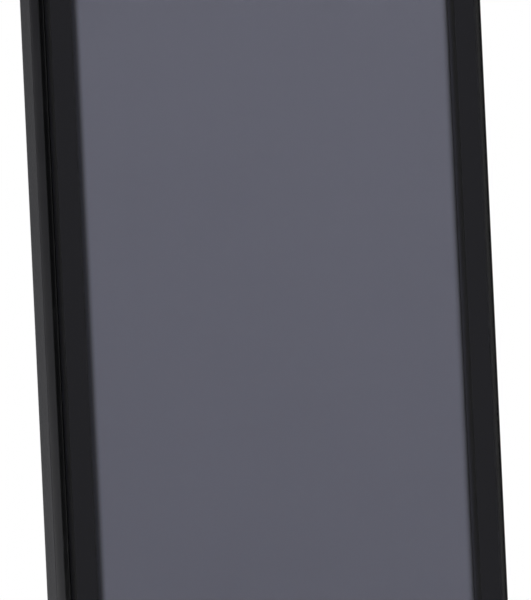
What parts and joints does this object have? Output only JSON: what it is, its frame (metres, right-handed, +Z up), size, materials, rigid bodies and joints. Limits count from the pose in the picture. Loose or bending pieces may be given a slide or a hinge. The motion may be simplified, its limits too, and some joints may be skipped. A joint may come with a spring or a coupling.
{
  "type": "smartphone",
  "caption": "Slab smartphone with glass front, bezel ring, side band, rear cover, side keys, sliding card tray, sockets and full internals.",
  "frame": {"origin": "middle of the bottom edge, where the upright phone meets a table", "axes": "+Z up the length towards the earpiece; the screen faces -Y; +X is the side with the keys and the card tray, to the right seen from the front"},
  "size_m": [0.0705, 0.0092, 0.137],
  "materials": {
    "clear_glass": "polished toughened glass",
    "mask_black": "opaque black film behind glass",
    "clear_film": "clear sensor film",
    "bezel_black": "piano black, polished",
    "black_rubber": "matt foam",
    "display_grey": "switched-off liquid crystal cell",
    "light_guide": "clear moulded acrylic",
    "lamp_lens": "prismatic clear acrylic",
    "pressed_steel": "thin pressed sheet, satin",
    "band_charcoal": "die-cast, satin charcoal coat",
    "cover_charcoal": "moulded, fine soft-touch grain",
    "key_metal": "anodised, spun edge",
    "tray_coat": "satin charcoal coat",
    "mesh_metal": "blackened fine mesh",
    "flex_amber": "polyimide film",
    "board_green": "solder mask on glass laminate",
    "chip_black": "moulded epoxy",
    "gold_can": "gold flash",
    "graphite": "rolled graphite foil",
    "socket_black": "moulded, fine matt",
    "copper_foil": "bare copper foil",
    "motor_steel": "nickel plated",
    "weight_tungsten": "sintered, grey",
    "pouch_black": "laminated foil pouch in black wrap",
    "tape_white": "pull-tab adhesive",
    "card_white": "printed plain card",
    "barrel_black": "ribbed anti-glare black",
    "ring_metal": "turned and bead-blasted",
    "sensor_silicon": "board with sensor die",
    "lamp_yellow": "phosphor on ceramic",
    "sensor_violet": "infrared-pass epoxy"
  },
  "bodies": {
    "handset": {"cover_glass": "clear_glass", "mask_border": "mask_black", "touch_sensor": "clear_film", "glass_gasket": "black_rubber", "front_ring": "bezel_black", "display_panel": "display_grey", "backlight_unit": "light_guide", "display_shield": "pressed_steel", "display_flex": "flex_amber", "earpiece_mesh": "mesh_metal", "earpiece_receiver": "motor_steel", "front_camera": "barrel_black", "proximity_sensor": "sensor_violet", "notification_led": "light_guide", "mid_frame": "band_charcoal", "rear_cover": "cover_charcoal", "graphite_sheet": "graphite", "frame_screws": "motor_steel", "main_board": "board_green", "processor": "chip_black", "memory_chip": "chip_black", "power_chip": "chip_black", "radio_chip": "chip_black", "processor_shield": "pressed_steel", "radio_shield": "pressed_steel", "sub_board": "board_green", "board_flex": "flex_amber", "usb_connector": "pressed_steel", "usb_tongue": "socket_black", "bottom_microphone": "gold_can", "top_microphone": "gold_can", "loudspeaker": "socket_black", "speaker_gasket": "black_rubber", "speaker_mesh": "mesh_metal", "main_antenna": "copper_foil", "wifi_antenna": "copper_foil", "vibration_motor": "motor_steel", "headphone_jack": "socket_black", "jack_contacts": "gold_can", "sim_reader": "pressed_steel", "battery": "pouch_black", "battery_board": "board_green", "battery_tape": "tape_white", "camera_base": "sensor_silicon", "rear_camera": "chip_black", "camera_window": "clear_glass", "camera_ring": "ring_metal", "flash_led": "lamp_yellow", "flash_lens": "lamp_lens", "rocker_pin": "motor_steel", "key_bracket": "pressed_steel", "key_strip": "flex_amber", "key_switches": "light_guide"},
    "power_key": {"power_key": "key_metal"},
    "volume_rocker": {"volume_rocker": "key_metal"},
    "card_tray": {"sim_tray": "tray_coat", "sim_card": "card_white"},
    "motor_rotor": {"motor_shaft": "motor_steel", "motor_weight": "weight_tungsten"},
    "focus_lens": {"lens_barrel": "barrel_black"}
  },
  "joints": [
    {"name": "power_press", "type": "slide", "parent": "handset", "child": "power_key", "axis": [-1, 0, 0], "range_m": [0, 0.0003], "stiffness_N_per_m": 2000},
    {"name": "volume_rock", "type": "hinge", "parent": "handset", "child": "volume_rocker", "pos_m": [0.0326, 0.0009, 0.082], "axis": [0, 1, 0], "range_deg": [-1.5, 1.5], "stiffness_Nm_per_rad": 0.1},
    {"name": "tray_slide", "type": "slide", "parent": "handset", "child": "card_tray", "axis": [1, 0, 0], "range_m": [0, 0.022]},
    {"name": "motor_spin", "type": "hinge", "parent": "handset", "child": "motor_rotor", "pos_m": [0.0255, 0.0015, 0.01], "axis": [1, 0, 0], "continuous": true},
    {"name": "lens_focus", "type": "slide", "parent": "handset", "child": "focus_lens", "axis": [0, 1, 0], "range_m": [0, 0.00025], "stiffness_N_per_m": 200}
  ]
}
